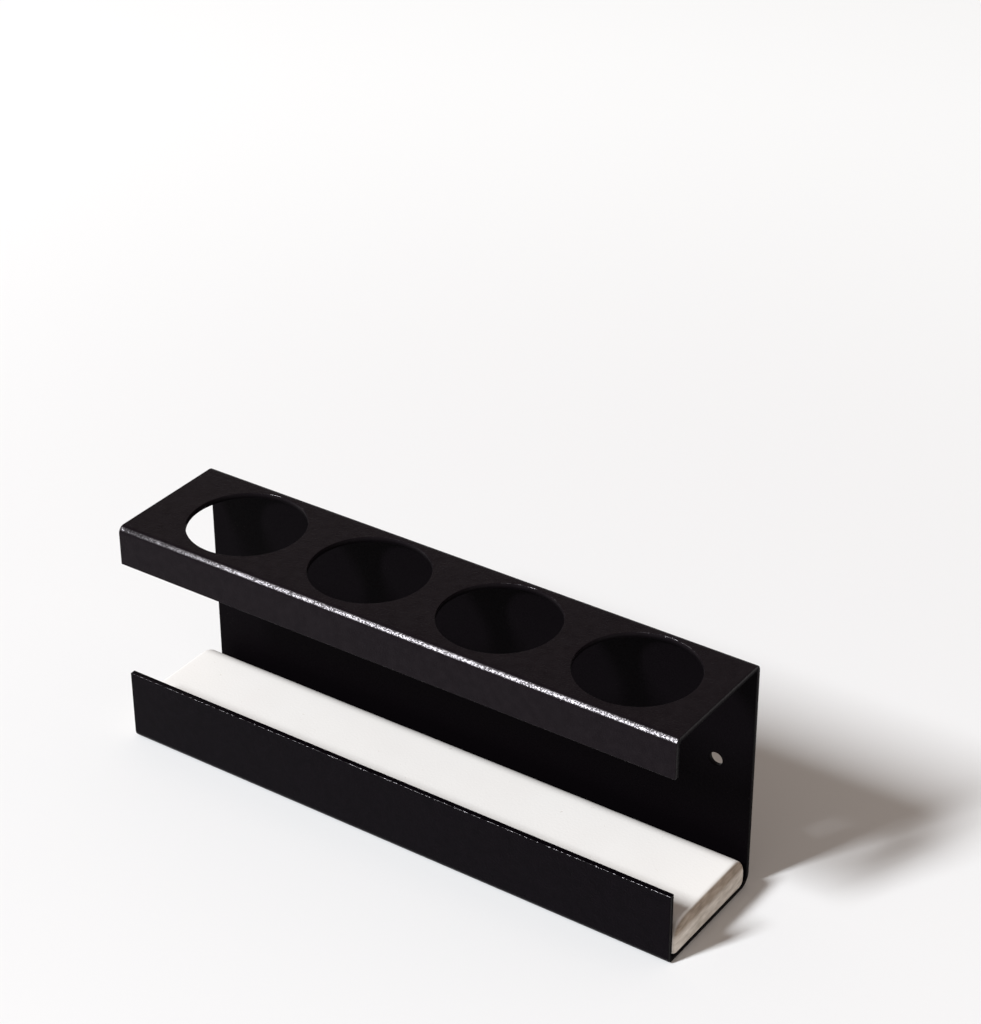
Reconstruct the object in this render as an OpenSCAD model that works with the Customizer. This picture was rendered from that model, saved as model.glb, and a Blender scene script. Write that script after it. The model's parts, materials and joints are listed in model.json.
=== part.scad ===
// Wall or shelf toothbrush holder: a folded sheet bracket with a row of
// round brush holes, and a removable absorbent stone pad in its channel.
// Millimetres. +X runs along the holder to the right, +Y to the wall, +Z up.
// The origin is the middle of the base.

/* [Bracket] */
// Length of the folded sheet, from one open end to the other
holder_l = 212.5; // [200:0.5:400]
// Depth from the front lips to the wall face
holder_d = 48.7; // [47.5:0.1:90]
// Height from the base to the top of the shelf
holder_h = 83.5; // [72:0.5:140]
// Thickness of the sheet with its paint
sheet_t = 2; // [1:0.1:3]
// Inside radius of the three tight bends
bend_r = 0.5; // [0.3:0.1:2]
// Inside radius of the wider bend between the base and the back
heel_bend_r = 2.5; // [1:0.1:4]
// Height of the lip that hangs from the front of the shelf
shelf_lip_h = 14.2; // [8:0.1:30]
// Height of the lip that stands at the front of the base
base_lip_h = 26.2; // [18:0.1:36]

/* [Brush holes] */
// Number of brush holes in the row
hole_count = 4; // [1:1:4]
// Diameter of a brush hole
hole_d = 40; // [20:0.5:42]
// Distance from one hole to the next
hole_pitch = 50; // [44:0.5:52]
// How far the middle of the row lies to the right of the middle of the shelf
hole_shift_x = 2.25; // [-3:0.25:3]
// How far the row lies behind the middle of the shelf
hole_shift_y = 0.8; // [-1:0.1:1]

/* [Wall screws] */
// Diameter of a wall screw hole
screw_hole_d = 4.8; // [3:0.1:8]
// Distance from each end of the sheet to its screw hole
screw_inset = 12.8; // [8:0.1:24]
// Height of the screw holes above the base
screw_h = 43.9; // [24:0.1:58]

/* [Pad] */
// Thickness of the stone pad
pad_t = 12.5; // [11:0.1:20]
// Radius of the two long upper edges of the pad
pad_edge_r = 7.5; // [2:0.1:9]
// Radius of the pad's upper and upright edges at its ends
pad_end_r = 1.3; // [0.5:0.1:3]
// Radius of the pad's lower edges at its ends
pad_foot_r = 1; // [0.2:0.1:2]
// Gap between the pad and the base lip
pad_front_gap = 0.2; // [0.1:0.1:1]
// Gap between the pad and the back
pad_back_gap = 1.95; // [0.3:0.05:3]
// How far each end of the pad stands out past the end of the sheet
pad_overhang = 0.7; // [0:0.1:3]
// How much wider the pad's lower long edges are rounded than the bends beside them
pad_bend_ease = 0.5; // [0.2:0.1:1]

/* [Hidden] */

// Overrun of every cut past the face that it goes through
cut = 1;
$fn = 96;

// Outside radii of the bends
bend_out_r = bend_r + sheet_t;
heel_bend_out_r = heel_bend_r + sheet_t;

// Faces of the bracket, front to back and bottom to top
front_y = -holder_d / 2;
back_y = holder_d / 2;
base_top_z = sheet_t;
shelf_under_z = holder_h - sheet_t;

// First hole of the row and the row's place on the shelf
hole_row_l = (hole_count - 1) * hole_pitch;
hole_first_x = hole_shift_x - hole_row_l / 2;

// The pad fills the channel between the base lip and the back
pad_l = holder_l + 2 * pad_overhang;
pad_w = holder_d - 2 * sheet_t - pad_front_gap - pad_back_gap;
pad_front_y = front_y + sheet_t + pad_front_gap;
pad_toe_r = bend_r + pad_bend_ease;
pad_heel_r = heel_bend_r + pad_bend_ease;

// What a round of radius r takes off the corner of a rectangle at the origin
module corner_waste(r) {
    difference() {
        translate([-cut, -cut]) square(r + cut);
        translate([r, r]) circle(r);
    }
}

// Rectangle from the origin with its own radius at each corner:
// left low, right low, right high, left high
module rounded_outline(w, h, radii) {
    difference() {
        square([w, h]);
        corner_waste(radii[0]);
        translate([w, 0]) mirror([1, 0]) corner_waste(radii[1]);
        translate([w, h]) mirror([1, 0]) mirror([0, 1]) corner_waste(radii[2]);
        translate([0, h]) mirror([0, 1]) corner_waste(radii[3]);
    }
}

// Extrudes an outline drawn in depth and height along the holder, centred on its length
module along_holder(l) {
    translate([-l / 2, 0, 0]) rotate([90, 0, 90]) linear_extrude(l) children();
}

// End view of the folded sheet, with its front edge at zero
module sheet_outline() {
    difference() {
        rounded_outline(holder_d, holder_h, [bend_out_r, heel_bend_out_r, bend_out_r, bend_out_r]);
        translate([sheet_t, sheet_t])
            rounded_outline(holder_d - 2 * sheet_t, holder_h - 2 * sheet_t,
                [bend_r, heel_bend_r, bend_r, bend_r]);
        // The open front between the two lips
        translate([-cut, base_lip_h])
            square([sheet_t + 2 * cut, holder_h - base_lip_h - shelf_lip_h]);
    }
}

module brush_holes() {
    for (i = [0 : hole_count - 1])
        translate([hole_first_x + i * hole_pitch, hole_shift_y, shelf_under_z - cut])
            cylinder(d = hole_d, h = sheet_t + 2 * cut);
}

module wall_screw_holes() {
    for (side = [-1, 1])
        translate([side * (holder_l / 2 - screw_inset), back_y + cut, screw_h])
            rotate([90, 0, 0]) cylinder(d = screw_hole_d, h = sheet_t + 2 * cut);
}

// One sheet of steel folded four times and painted black
module bracket() {
    color([0.13, 0.125, 0.13])
    difference() {
        translate([0, front_y, 0]) along_holder(holder_l) sheet_outline();
        brush_holes();
        wall_screw_holes();
    }
}

// Absorbent stone slab that lies in the channel and slides out at either end
module pad() {
    color([0.96, 0.95, 0.92])
    translate([0, pad_front_y, base_top_z])
    intersection() {
        along_holder(pad_l)
            rounded_outline(pad_w, pad_t, [pad_toe_r, pad_heel_r, pad_edge_r, pad_edge_r]);
        translate([-pad_l / 2, pad_w, 0]) rotate([90, 0, 0]) linear_extrude(pad_w)
            rounded_outline(pad_l, pad_t, [pad_foot_r, pad_foot_r, pad_end_r, pad_end_r]);
        translate([-pad_l / 2, 0, 0]) linear_extrude(pad_t)
            rounded_outline(pad_l, pad_w, [pad_end_r, pad_end_r, pad_end_r, pad_end_r]);
    }
}

bracket();
pad();
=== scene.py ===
"""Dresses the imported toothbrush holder: folded sheet, stone pad, pale floor, light and camera."""
import json
import math

import bmesh
import bpy
from mathutils import Matrix, Vector, noise


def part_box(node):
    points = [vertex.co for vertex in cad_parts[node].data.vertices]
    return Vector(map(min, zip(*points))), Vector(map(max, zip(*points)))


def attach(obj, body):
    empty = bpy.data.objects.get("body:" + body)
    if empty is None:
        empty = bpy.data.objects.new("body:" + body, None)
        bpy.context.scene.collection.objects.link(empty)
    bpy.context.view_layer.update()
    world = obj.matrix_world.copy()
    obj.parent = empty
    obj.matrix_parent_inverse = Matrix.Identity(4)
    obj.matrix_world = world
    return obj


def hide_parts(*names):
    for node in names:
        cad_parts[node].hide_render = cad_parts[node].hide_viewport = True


MM = 0.001
QUARTER = math.radians(90)
RIGHT = Vector((1, 0, 0))
BACKWARD = Vector((0, 1, 0))
UP = Vector((0, 0, 1))

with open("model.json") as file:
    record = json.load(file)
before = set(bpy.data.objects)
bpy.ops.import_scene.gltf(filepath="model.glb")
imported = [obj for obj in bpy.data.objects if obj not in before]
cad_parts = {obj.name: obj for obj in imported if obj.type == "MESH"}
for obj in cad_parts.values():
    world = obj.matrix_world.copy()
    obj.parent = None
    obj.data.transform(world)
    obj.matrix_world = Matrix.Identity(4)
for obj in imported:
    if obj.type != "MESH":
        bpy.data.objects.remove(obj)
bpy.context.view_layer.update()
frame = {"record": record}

# Sizes read from the frame
sheet_low, sheet_high = (Vector(corner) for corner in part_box("bracket"))
pad_low, pad_high = (Vector(corner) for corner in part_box("pad"))
mounts = {mount["name"]: mount for mount in frame["record"]["mounts"]}
brush_holes = [mount for mount in mounts.values() if mount["kind"] == "bore"]
wall_screws = mounts["wall_screws"]
SHEET_T = brush_holes[0]["dims"]["length_mm"] * MM
BRUSH_HOLE_R = brush_holes[0]["dims"]["r_mm"] * MM
SCREW_HOLE_R = wall_screws["dims"]["hole_r_mm"] * MM
SCREW_SPACING = wall_screws["dims"]["spacing_x_mm"] * MM
HOLDER_L = sheet_high.x - sheet_low.x
HOLDER_D = sheet_high.y - sheet_low.y
HOLDER_H = sheet_high.z - sheet_low.z

# The bracket's folds and lips
SHELF_LIP_H = 14.2 * MM
BASE_LIP_H = 26.2 * MM
BEND_OUT_R = 2.5 * MM
HEEL_BEND_OUT_R = 4.5 * MM
BEND_STEPS = 14
# Softening of the painted cut edges and of the rims of the holes
CUT_EDGE_R = 0.22 * MM
RIM_R = 0.22 * MM
SOFT_STEPS = 4
HOLE_SIDES = 128

# The pad's long edges, its end edges and the spacing of its cross sections
PAD_EDGE_R = 7.5 * MM
PAD_HEEL_R = 3.0 * MM
PAD_TOE_R = 1.8 * MM
PAD_END_R = 1.5 * MM
PAD_EDGE_STEPS = 10
PAD_END_STEPS = 5
PAD_SECTION = 2.0 * MM
# How far the pressed surface of the pad wanders either way, and over what distance
PAD_WAVE = 0.06 * MM
PAD_WAVE_L = 14 * MM

# Points this close are one point, and points this close to a level lie on it
SAME_POINT = 0.001 * MM
ON_LEVEL = 0.01 * MM


# Objects and meshes

def add_object(name, data):
    item = bpy.data.objects.new(name, data)
    bpy.context.scene.collection.objects.link(item)
    return item


def mesh_object(name, bm, material):
    """Makes the object of a finished bmesh."""
    mesh = bpy.data.meshes.new(name)
    bm.to_mesh(mesh)
    bm.free()
    mesh.materials.append(material)
    return add_object(name, mesh)


def new_piece(name, bm, material, body, node):
    """Makes a piece of the holder and ties it to the frame."""
    piece = mesh_object(name, bm, material)
    piece.data.shade_smooth()
    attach(piece, body)
    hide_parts(node)
    # Flat faces keep their own normals and only the rounds between them blend
    modifier = piece.modifiers.new("weighted normals", "WEIGHTED_NORMAL")
    modifier.weight = 100
    modifier.mode = "FACE_AREA"


def rectangle(bm, width, depth, matrix):
    """One flat face, width by depth, centred and then placed by matrix."""
    made = bmesh.ops.create_grid(bm, x_segments=1, y_segments=1, size=0.5)
    scale = Matrix.Diagonal((width, depth, 1, 1))
    bmesh.ops.transform(bm, matrix=matrix @ scale, verts=made["verts"])
    return made["verts"][0].link_faces[0]


def round_corner(bm, vertex, radius, steps):
    bmesh.ops.bevel(bm, geom=[vertex], offset=radius, offset_type="OFFSET", segments=steps,
                    profile=0.5, affect="VERTICES", material=-1)


def lone_face(bm):
    """The face that a sweep starts from. Rounding a corner of it has made it anew."""
    return bm.faces[:][0]


def parts_of(face):
    return [face, *face.edges, *face.verts]


def face_among(made):
    return next(item for item in made if isinstance(item, bmesh.types.BMFace))


def run(bm, face, step):
    """Extrudes the end face of a sweep along a straight step and returns the new end face."""
    made = bmesh.ops.extrude_face_region(bm, geom=parts_of(face))["geom"]
    verts = [item for item in made if isinstance(item, bmesh.types.BMVert)]
    bmesh.ops.translate(bm, vec=step, verts=verts)
    return face_among(made)


def fold(bm, face, y, z):
    """Turns the end face of a sweep through a bend whose axis lies at y and z."""
    made = bmesh.ops.spin(bm, geom=parts_of(face), cent=(0, y, z), axis=-RIGHT, angle=QUARTER,
                          steps=BEND_STEPS, use_merge=False, use_duplicate=False)
    return face_among(made["geom_last"])


def round_off(bm, face, radius, steps):
    """Rounds the rim of an end face outwards over a quarter circle, ending flat."""
    inset = depth = 0
    for step in range(1, steps + 1):
        angle = QUARTER * step / steps
        next_inset = radius * (1 - math.cos(angle))
        next_depth = radius * math.sin(angle)
        bmesh.ops.inset_region(bm, faces=[face], thickness=next_inset - inset,
                               depth=next_depth - depth, use_even_offset=True)
        inset, depth = next_inset, next_depth


def end_caps(bm):
    """The two end faces of a sweep, the only ones with rounded corners."""
    return [face for face in bm.faces if len(face.verts) > 4]


def clean(bm):
    bmesh.ops.remove_doubles(bm, verts=bm.verts, dist=SAME_POINT)
    bmesh.ops.recalc_face_normals(bm, faces=bm.faces)


# Bracket

def hole_wall(bm, centre, axis, radius):
    """Wall of a round hole through the sheet, flared open by a soft rim at both faces."""
    known_verts, known_edges = set(bm.verts), set(bm.edges)
    out = axis.orthogonal().normalized()
    half = axis * SHEET_T / 2
    corners = [
        centre + half + out * (radius + RIM_R), centre + half + out * radius,
        centre - half + out * radius, centre - half + out * (radius + RIM_R),
    ]
    chain = [bm.verts.new(corner) for corner in corners]
    for a, b in zip(chain, chain[1:]):
        bm.edges.new((a, b))
    for vertex in chain[1:3]:
        round_corner(bm, vertex, RIM_R, SOFT_STEPS)
    verts = [vertex for vertex in bm.verts if vertex not in known_verts]
    edges = [edge for edge in bm.edges if edge not in known_edges]
    bmesh.ops.spin(bm, geom=verts + edges, cent=centre, axis=axis, angle=4 * QUARTER,
                   steps=HOLE_SIDES, use_merge=True, use_duplicate=False)


def pierce(bm, normal, level):
    """Lets the open rims of the hole walls into the flat face that lies at level along normal."""
    def lies_there(part):
        return all(abs(vertex.co.dot(normal) - level) < ON_LEVEL for vertex in part.verts)

    face = max(filter(lies_there, bm.faces), key=lambda face: face.calc_area())
    bmesh.ops.delete(bm, geom=[face], context="FACES_ONLY")
    rims = [edge for edge in bm.edges if edge.is_boundary and lies_there(edge)]
    bmesh.ops.triangle_fill(bm, use_beauty=True, use_dissolve=False, normal=normal, edges=rims)


def make_bracket(material):
    """One sheet, swept from the shelf lip's free edge round four folds to the base lip's."""
    bm = bmesh.new()
    front, back, top = sheet_low.y, sheet_high.y, sheet_high.z
    start = Vector((0, front + SHEET_T / 2, top - SHELF_LIP_H + CUT_EDGE_R))
    face = rectangle(bm, HOLDER_L, SHEET_T, Matrix.Translation(start))
    for vertex in list(face.verts):
        round_corner(bm, vertex, CUT_EDGE_R, SOFT_STEPS)
    face = lone_face(bm)
    face = run(bm, face, UP * (SHELF_LIP_H - CUT_EDGE_R - BEND_OUT_R))
    face = fold(bm, face, front + BEND_OUT_R, top - BEND_OUT_R)
    face = run(bm, face, BACKWARD * (HOLDER_D - 2 * BEND_OUT_R))
    face = fold(bm, face, back - BEND_OUT_R, top - BEND_OUT_R)
    face = run(bm, face, -UP * (HOLDER_H - BEND_OUT_R - HEEL_BEND_OUT_R))
    face = fold(bm, face, back - HEEL_BEND_OUT_R, HEEL_BEND_OUT_R)
    face = run(bm, face, -BACKWARD * (HOLDER_D - HEEL_BEND_OUT_R - BEND_OUT_R))
    face = fold(bm, face, front + BEND_OUT_R, BEND_OUT_R)
    run(bm, face, UP * (BASE_LIP_H - CUT_EDGE_R - BEND_OUT_R))
    clean(bm)
    for cap in end_caps(bm):
        round_off(bm, cap, CUT_EDGE_R, SOFT_STEPS)
    clean(bm)

    for hole in brush_holes:
        hole_wall(bm, Vector(hole["pos_m"]), UP, BRUSH_HOLE_R)
    for level in (top, top - SHEET_T):
        pierce(bm, UP, level)
    for side in (-1, 1):
        centre = Vector(wall_screws["pos_m"]) + RIGHT * side * SCREW_SPACING / 2
        centre.y = back - SHEET_T / 2
        hole_wall(bm, centre, BACKWARD, SCREW_HOLE_R)
    for level in (back, back - SHEET_T):
        pierce(bm, BACKWARD, level)
    clean(bm)
    new_piece("folded_sheet", bm, material, "bracket", "bracket")


# Pad

def make_pad(material):
    """A slab with rounded long edges, swept along the channel, a little uneven all over."""
    bm = bmesh.new()
    size = pad_high - pad_low
    middle = (pad_low + pad_high) / 2
    # The end face's width turns to Y and its depth to Z, so that it faces along X
    stand = Matrix((
        (0, 0, 1, pad_low.x + PAD_END_R),
        (1, 0, 0, middle.y),
        (0, 1, 0, middle.z),
        (0, 0, 0, 1),
    ))
    face = rectangle(bm, size.y, size.z, stand)
    for vertex in list(face.verts):
        low_r = PAD_TOE_R if vertex.co.y < middle.y else PAD_HEEL_R
        radius = low_r if vertex.co.z < middle.z else PAD_EDGE_R
        round_corner(bm, vertex, radius, PAD_EDGE_STEPS)
    for edge in [edge for edge in bm.edges if edge.calc_length() > 2 * PAD_SECTION]:
        bmesh.ops.subdivide_edges(bm, edges=[edge], cuts=int(edge.calc_length() / PAD_SECTION))
    face = lone_face(bm)
    length = size.x - 2 * PAD_END_R
    sections = round(length / PAD_SECTION)
    for _ in range(sections):
        face = run(bm, face, RIGHT * (length / sections))
    clean(bm)
    for cap in end_caps(bm):
        round_off(bm, cap, PAD_END_R, PAD_END_STEPS)
        bmesh.ops.triangulate(bm, faces=[cap], ngon_method="BEAUTY")
    clean(bm)
    # The sole stays flat, and the rest only sinks in, so that the pad keeps its size
    for vertex in bm.verts:
        if vertex.co.z > pad_low.z + PAD_TOE_R:
            vertex.co -= vertex.normal * PAD_WAVE * (1 - noise.noise(vertex.co / PAD_WAVE_L))
    new_piece("stone_pad", bm, material, "pad", "pad")


# Shading. A value is a number, a colour or the socket of another node, and a mask is a socket
# that runs from 0 to 1

# A Mix node's colour sockets, which share their names with its other ones
MIX_LOW, MIX_HIGH, MIX_RESULT = 6, 7, 2


def feed(tree, value, socket):
    if isinstance(value, bpy.types.NodeSocket):
        tree.links.new(value, socket)
    else:
        socket.default_value = value


def calculated(tree, operation, first, second=0.0):
    node = tree.nodes.new("ShaderNodeMath")
    node.operation = operation
    feed(tree, first, node.inputs[0])
    feed(tree, second, node.inputs[1])
    return node.outputs["Value"]


def product(tree, first, *others):
    for other in others:
        first = calculated(tree, "MULTIPLY", first, other)
    return first


def stepped(tree, value, low, high):
    """Mask that rises smoothly from 0 where the value is low to 1 where it is high."""
    ramp = tree.nodes.new("ShaderNodeMapRange")
    ramp.interpolation_type = "SMOOTHSTEP"
    feed(tree, value, ramp.inputs["Value"])
    feed(tree, low, ramp.inputs["From Min"])
    feed(tree, high, ramp.inputs["From Max"])
    return ramp.outputs["Result"]


def scaled(tree, mask, low, high):
    """Stretches a mask, so that it runs from low to high."""
    scale = tree.nodes.new("ShaderNodeMapRange")
    feed(tree, mask, scale.inputs["Value"])
    feed(tree, low, scale.inputs["To Min"])
    feed(tree, high, scale.inputs["To Max"])
    return scale.outputs["Result"]


def mix_colour(tree, mask, low, high):
    """Passes from the low colour to the high one as the mask rises."""
    mix = tree.nodes.new("ShaderNodeMix")
    mix.data_type = "RGBA"
    feed(tree, mask, mix.inputs["Factor"])
    feed(tree, low, mix.inputs[MIX_LOW])
    feed(tree, high, mix.inputs[MIX_HIGH])
    return mix.outputs[MIX_RESULT]


def parts(tree, vector):
    """The X, Y and Z of a vector."""
    split = tree.nodes.new("ShaderNodeSeparateXYZ")
    feed(tree, vector, split.inputs["Vector"])
    return split.outputs["X"], split.outputs["Y"], split.outputs["Z"]


def bump(tree, height, distance, strength):
    node = tree.nodes.new("ShaderNodeBump")
    feed(tree, height, node.inputs["Height"])
    feed(tree, distance, node.inputs["Distance"])
    feed(tree, strength, node.inputs["Strength"])
    return node


def new_material(name):
    """A new material with its tree and shader, and the place and normal of its surface."""
    material = bpy.data.materials.new(name)
    material.use_nodes = True
    tree = material.node_tree
    surface = tree.nodes.new("ShaderNodeTexCoord").outputs
    return material, tree, tree.nodes["Principled BSDF"], surface["Object"], surface["Normal"]


# Fine grain, and how far above its level a speck is full
GRAIN_DETAIL = 2.0
GRAIN_ROUGHNESS = 0.55
SPECK_RISE = 0.07


def make_grain_group():
    """Fine grain of a set size: Height for bumps and Speck, a mask of its highest points."""
    group = bpy.data.node_groups.new("fine grain", "ShaderNodeTree")
    for name, in_out, kind in (
        ("Vector", "INPUT", "NodeSocketVector"),
        ("Grains per metre", "INPUT", "NodeSocketFloat"),
        ("Speck level", "INPUT", "NodeSocketFloat"),
        ("Height", "OUTPUT", "NodeSocketFloat"),
        ("Speck", "OUTPUT", "NodeSocketFloat"),
    ):
        group.interface.new_socket(name=name, in_out=in_out, socket_type=kind)
    asked = group.nodes.new("NodeGroupInput").outputs
    given = group.nodes.new("NodeGroupOutput").inputs
    cloud = group.nodes.new("ShaderNodeTexNoise")
    feed(group, asked["Vector"], cloud.inputs["Vector"])
    feed(group, asked["Grains per metre"], cloud.inputs["Scale"])
    feed(group, GRAIN_DETAIL, cloud.inputs["Detail"])
    feed(group, GRAIN_ROUGHNESS, cloud.inputs["Roughness"])
    height = cloud.outputs["Fac"]
    full = calculated(group, "ADD", asked["Speck level"], SPECK_RISE)
    feed(group, height, given["Height"])
    feed(group, stepped(group, height, asked["Speck level"], full), given["Speck"])
    return group


def place_grain(tree, group, place, per_metre, speck_level=0.5):
    """Adds grain to a material and returns its height and its specks."""
    grain = tree.nodes.new("ShaderNodeGroup")
    grain.node_tree = group
    feed(tree, place, grain.inputs["Vector"])
    feed(tree, per_metre, grain.inputs["Grains per metre"])
    feed(tree, speck_level, grain.inputs["Speck level"])
    return grain.outputs["Height"], grain.outputs["Speck"]


# Powder coat. Pairs of colours are the coat's darkest and palest mottle; the coat is painted darker
# low down and paler high up, as painted shade and light
SHADED_LOW_COAT = ((0.0010, 0.0004, 0.0012, 1), (0.0030, 0.0018, 0.0032, 1))
LIT_HIGH_COAT = ((0.0044, 0.0030, 0.0042, 1), (0.0104, 0.0080, 0.0098, 1))
# Painted shade: the channel's inner face is coloured darker than the outer face
SHADED_INNER_COAT = (0.0016, 0.0009, 0.0016, 1)
# Painted glint: a pale metallic colour on the outer arrises, set where the highlight falls
PAINTED_GLINT_COAT = (0.25, 0.24, 0.255, 1)
OUTER_ROUGHNESS = 0.26
INNER_ROUGHNESS = 0.70
PAINTED_GLINT_ROUGHNESS = 0.42
COAT_SPECULAR = 0.035
COAT_GRAIN_DEPTH = 0.14 * MM
# Grains per metre, and the levels above which they make specks
COAT_GRAINS = 1800
COAT_SPECK_LEVEL = 0.46
MOTTLE_GRAINS = 320
PATCH_GRAINS = 110
PATCH_LEVEL = 0.5
DASH_GRAINS = 620
DASH_LEVEL = 0.46
# Shares of the height between which the coat turns from painted shade low down to paler
PALER_FROM = 0.3
PALER_FULL = 0.7
# The normal's Y times its Z, which comes to -0.5 where an arris looks up and to the front
ARRIS_FROM = -0.38
ARRIS_FULL = -0.48
# Shares of the length, from the middle, between which the painted glint of the front fold sets in
FOLD_GLINT_FROM = -0.52
FOLD_GLINT_FULL = -0.2
# Strength of the painted glint at the fold's left end, in a dash, and between two specks
LEFT_GLINT = 0.2
DASH_GLINT = 0.7
SPECK_GAP_GLINT = 0.3


def inside_channel(tree, y, z):
    """Mask of the sheet's inner face, all round the channel, that sets in across its middle."""
    middle_y = HOLDER_D / 2 - SHEET_T / 2
    middle_z = HOLDER_H / 2 - SHEET_T / 2
    across = calculated(tree, "ABSOLUTE", y)
    upward = calculated(tree, "ABSOLUTE", calculated(tree, "SUBTRACT", z, HOLDER_H / 2))
    # The height is measured so that the sheet's middle lies as far out as it does in depth
    level = calculated(tree, "SUBTRACT", upward, middle_z - middle_y)
    outmost = calculated(tree, "MAXIMUM", across, level)
    return stepped(tree, outmost, middle_y + SHEET_T / 3, middle_y - SHEET_T / 3)


def arris_glint_mask(tree, grain_group, place):
    """How much painted glint an arris has at a place: along the front fold, most of all to the
    right, and otherwise in dashes, which are all along the base lip but only in patches on the
    shelf."""
    x, y, z = parts(tree, place)
    _, patches = place_grain(tree, grain_group, place, PATCH_GRAINS, PATCH_LEVEL)
    _, glint_dashes = place_grain(tree, grain_group, place, DASH_GRAINS, DASH_LEVEL)
    up_front = calculated(tree, "SUBTRACT", z, y)
    on_fold = calculated(tree, "GREATER_THAN", up_front, HOLDER_H + HOLDER_D / 2 - 2 * BEND_OUT_R)
    along = stepped(tree, x, FOLD_GLINT_FROM * HOLDER_L, FOLD_GLINT_FULL * HOLDER_L)
    fold_glint = product(tree, on_fold, scaled(tree, along, LEFT_GLINT, 1.0))
    on_base_lip = calculated(tree, "LESS_THAN", z, HOLDER_H / 2)
    dashed_here = calculated(tree, "MAXIMUM", on_base_lip, patches)
    glint_in_dashes = product(tree, dashed_here, scaled(tree, glint_dashes, 0.0, DASH_GLINT))
    return calculated(tree, "MAXIMUM", fold_glint, glint_in_dashes)


def powder_coat(grain_group):
    """Black powder coat: painted shade inside and low down, paler towards the top, painted glint on
    outer arrises.
    """
    material, tree, shader, place, normal = new_material("black powder coat")
    _, y, z = parts(tree, place)
    _, normal_y, normal_z = parts(tree, normal)
    grain, specks = place_grain(tree, grain_group, place, COAT_GRAINS, COAT_SPECK_LEVEL)
    mottle, _ = place_grain(tree, grain_group, place, MOTTLE_GRAINS)

    inside = inside_channel(tree, y, z)
    outside = scaled(tree, inside, 1.0, 0.0)
    arris = stepped(tree, product(tree, normal_y, normal_z), ARRIS_FROM, ARRIS_FULL)
    glint_places = arris_glint_mask(tree, grain_group, place)
    # Painted glint: metallic colour on the arrises that face the highlight, fading to the left
    # along the front fold
    painted_glint = product(tree, arris, outside, glint_places, scaled(tree, specks, SPECK_GAP_GLINT, 1.0))

    # Painted shade and light: the coat is darker low down and paler towards the top
    high = stepped(tree, z, PALER_FROM * HOLDER_H, PALER_FULL * HOLDER_H)
    shaded_low = mix_colour(tree, mottle, *SHADED_LOW_COAT)
    lit_high = mix_colour(tree, mottle, *LIT_HIGH_COAT)
    outer = mix_colour(tree, high, shaded_low, lit_high)
    # Painted shade inside the channel
    coat = mix_colour(tree, inside, outer, SHADED_INNER_COAT)
    feed(tree, mix_colour(tree, painted_glint, coat, PAINTED_GLINT_COAT), shader.inputs["Base Color"])
    feed(tree, painted_glint, shader.inputs["Metallic"])
    rough = scaled(tree, inside, OUTER_ROUGHNESS, INNER_ROUGHNESS)
    glint_roughness = scaled(tree, painted_glint, 0.0, PAINTED_GLINT_ROUGHNESS)
    feed(tree, calculated(tree, "MAXIMUM", rough, glint_roughness), shader.inputs["Roughness"])
    shader.inputs["Specular IOR Level"].default_value = COAT_SPECULAR
    fine = bump(tree, grain, COAT_GRAIN_DEPTH, 1.0)
    feed(tree, fine.outputs["Normal"], shader.inputs["Normal"])
    return material


# Stone. Pairs of colours are its darkest and palest drift or streak, and on the sides painted shade
STONE_TONES = ((0.885, 0.865, 0.845, 1), (0.915, 0.905, 0.89, 1))
PIT_COLOUR = (0.78, 0.74, 0.70, 1)
# Painted shade: the colours of the pad's sides and ends, darker and browner than the top
PALE_SIDE_SHADE = ((0.34, 0.285, 0.225, 1), (0.90, 0.83, 0.76, 1))
BROWN_SIDE_SHADE = ((0.13, 0.09, 0.06, 1), (0.52, 0.43, 0.35, 1))
STONE_ROUGHNESS = 0.92
STONE_SPECULAR = 0.25
STONE_GRAIN_DEPTH = 0.07 * MM
STONE_GRAIN_STRENGTH = 0.6
PIT_DEPTH = 0.10 * MM
PIT_STRENGTH = 0.5
# Grains per metre, and the level above which they make pits
STONE_GRAINS = 1100
DRIFT_GRAINS = 45
PIT_GRAINS = 520
PIT_LEVEL = 0.72
STREAK_GRAINS = 620
# The streaks lie flat, drawn out along the sides by scaling the place
STREAK_SCALE = (0.3, 0.3, 1.0)
# Depths below the top between which the sides turn from pale to brown
BROWN_FROM = 7.0 * MM
BROWN_FULL = 4.0 * MM
# The square of the normal's Z, 1 on top, where the sides' colour sets in
SIDE_FROM = 0.80
SIDE_FULL = 0.20
# The square of the normal's X, 1 on an end, where the ends' full strength sets in
END_FROM = 0.05
END_FULL = 0.50
# Strength of the sides' colour along the length
LONG_SIDE_STRENGTH = 0.7


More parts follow.
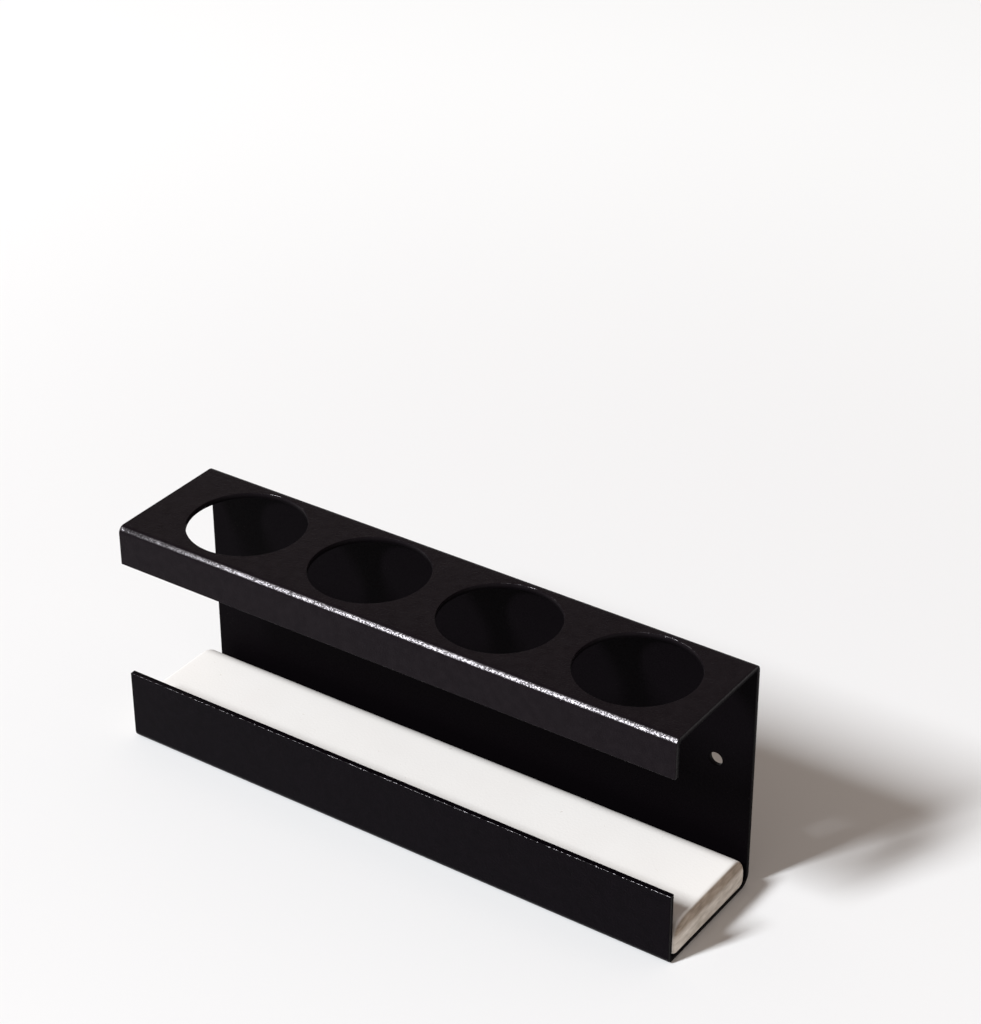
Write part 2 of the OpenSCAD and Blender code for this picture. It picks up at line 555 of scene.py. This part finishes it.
def absorbent_stone(grain_group):
    """Off-white pressed stone with a few shallow pits, its sides and ends coloured browner and
    streaked as painted shade.
    """
    material, tree, shader, place, normal = new_material("absorbent stone")
    _, _, z = parts(tree, place)
    normal_x, _, normal_z = parts(tree, normal)
    grain, _ = place_grain(tree, grain_group, place, STONE_GRAINS)
    drift, _ = place_grain(tree, grain_group, place, DRIFT_GRAINS)
    _, pits = place_grain(tree, grain_group, place, PIT_GRAINS, PIT_LEVEL)
    drawn_out = tree.nodes.new("ShaderNodeVectorMath")
    drawn_out.operation = "MULTIPLY"
    feed(tree, place, drawn_out.inputs[0])
    feed(tree, STREAK_SCALE, drawn_out.inputs[1])
    streaks, _ = place_grain(tree, grain_group, drawn_out.outputs["Vector"], STREAK_GRAINS)

    top = mix_colour(tree, pits, mix_colour(tree, drift, *STONE_TONES), PIT_COLOUR)
    pale = mix_colour(tree, streaks, *PALE_SIDE_SHADE)
    brown = mix_colour(tree, streaks, *BROWN_SIDE_SHADE)
    high = stepped(tree, z, pad_high.z - BROWN_FROM, pad_high.z - BROWN_FULL)
    # Painted shade on the sides, strongest on the ends
    side = mix_colour(tree, high, pale, brown)
    sides = stepped(tree, product(tree, normal_z, normal_z), SIDE_FROM, SIDE_FULL)
    ends = stepped(tree, product(tree, normal_x, normal_x), END_FROM, END_FULL)
    side_shade_amount = product(tree, sides, scaled(tree, ends, LONG_SIDE_STRENGTH, 1.0))
    feed(tree, mix_colour(tree, side_shade_amount, top, side), shader.inputs["Base Color"])
    shader.inputs["Roughness"].default_value = STONE_ROUGHNESS
    shader.inputs["Specular IOR Level"].default_value = STONE_SPECULAR
    fine = bump(tree, grain, STONE_GRAIN_DEPTH, STONE_GRAIN_STRENGTH)
    deep = bump(tree, pits, PIT_DEPTH, PIT_STRENGTH)
    deep.invert = True
    feed(tree, fine.outputs["Normal"], deep.inputs["Normal"])
    feed(tree, deep.outputs["Normal"], shader.inputs["Normal"])
    return material


# Stage, light and camera

FLOOR_R = 4.0
FLOOR_SIDES = 96
# The floor is a shade paler far from the holder
FLOOR_NEAR_COLOUR = (0.832, 0.843, 0.855, 1)
FLOOR_FAR_COLOUR = (0.922, 0.944, 0.955, 1)
FLOOR_NEAR_R = 0.2
FLOOR_FAR_R = 0.7
# The key is a tall soft window of light to the left of the front, in degrees, metres and watts
KEY_AZIMUTH = 25.5
KEY_ELEVATION = 41.3
KEY_DISTANCE = 8.0
KEY_WIDTH = 0.9
KEY_HEIGHT = 2.3
KEY_COLOUR = (0.98, 1.0, 1.02)
KEY_POWER = 820
KEY_AIM = Vector((0.05, 0.0, 0.04))
# The studio is pale at the height of the horizon and dim above
HORIZON_COLOUR = (0.79, 0.775, 0.76, 1)
ABOVE_COLOUR = (0.286, 0.236, 0.203, 1)
# Heights, as shares of the way up to the zenith's unit height, between which it dims
DIM_FROM = 0.15
DIM_FULL = 0.38
# The photograph's view, in degrees, metres and millimetres of lens and sensor
VIEW_AZIMUTH = 34.652
VIEW_ELEVATION = 30.6696
VIEW_ROLL = -0.211
VIEW_PLACE = Vector((0.427995, -0.583749, 0.541710))
VIEW_LENS = 96.0465
VIEW_SENSOR = 36
VIEW_CLIP = 10 * MM


def make_floor():
    bm = bmesh.new()
    bmesh.ops.create_circle(bm, cap_ends=True, segments=FLOOR_SIDES, radius=FLOOR_R)
    material, tree, shader, place, _ = new_material("pale floor")
    away = tree.nodes.new("ShaderNodeVectorMath")
    away.operation = "LENGTH"
    feed(tree, place, away.inputs[0])
    far = stepped(tree, away.outputs["Value"], FLOOR_NEAR_R, FLOOR_FAR_R)
    colour = mix_colour(tree, far, FLOOR_NEAR_COLOUR, FLOOR_FAR_COLOUR)
    feed(tree, colour, shader.inputs["Base Color"])
    shader.inputs["Roughness"].default_value = 1.0
    shader.inputs["Specular IOR Level"].default_value = 0.0
    mesh_object("floor", bm, material)


def make_world():
    """Pale all round at eye level, as a backdrop, and dim overhead."""
    world = bpy.data.worlds.new("studio")
    bpy.context.scene.world = world
    world.use_nodes = True
    tree = world.node_tree
    direction = tree.nodes.new("ShaderNodeTexCoord")
    _, _, height = parts(tree, direction.outputs["Generated"])
    rise = stepped(tree, height, DIM_FROM, DIM_FULL)
    colour = mix_colour(tree, rise, HORIZON_COLOUR, ABOVE_COLOUR)
    feed(tree, colour, tree.nodes["Background"].inputs["Color"])


def looking_down(azimuth, elevation):
    """Turn, by degrees, of a light or camera that stands right of the front and looks down."""
    turn = Matrix.Rotation(math.radians(azimuth), 4, "Z")
    tilt = Matrix.Rotation(math.radians(90 - elevation), 4, "X")
    return turn @ tilt


def make_key():
    data = bpy.data.lights.new("key", "AREA")
    data.shape = "RECTANGLE"
    data.size = KEY_WIDTH
    data.size_y = KEY_HEIGHT
    data.energy = KEY_POWER
    data.color = KEY_COLOUR
    key = add_object("key", data)
    aim = looking_down(-KEY_AZIMUTH, KEY_ELEVATION)
    away = aim.to_3x3() @ Vector((0, 0, KEY_DISTANCE))
    key.matrix_world = Matrix.Translation(KEY_AIM + away) @ aim


def make_camera():
    data = bpy.data.cameras.new("camera")
    data.lens = VIEW_LENS
    data.sensor_width = VIEW_SENSOR
    data.clip_start = VIEW_CLIP
    camera = add_object("camera", data)
    roll = Matrix.Rotation(math.radians(VIEW_ROLL), 4, "Z")
    aim = looking_down(VIEW_AZIMUTH, VIEW_ELEVATION) @ roll
    camera.matrix_world = Matrix.Translation(VIEW_PLACE) @ aim
    bpy.context.scene.camera = camera


grain_group = make_grain_group()
make_bracket(powder_coat(grain_group))
make_pad(absorbent_stone(grain_group))
make_floor()
make_world()
make_key()
make_camera()
bpy.context.scene.view_settings.view_transform = "Standard"
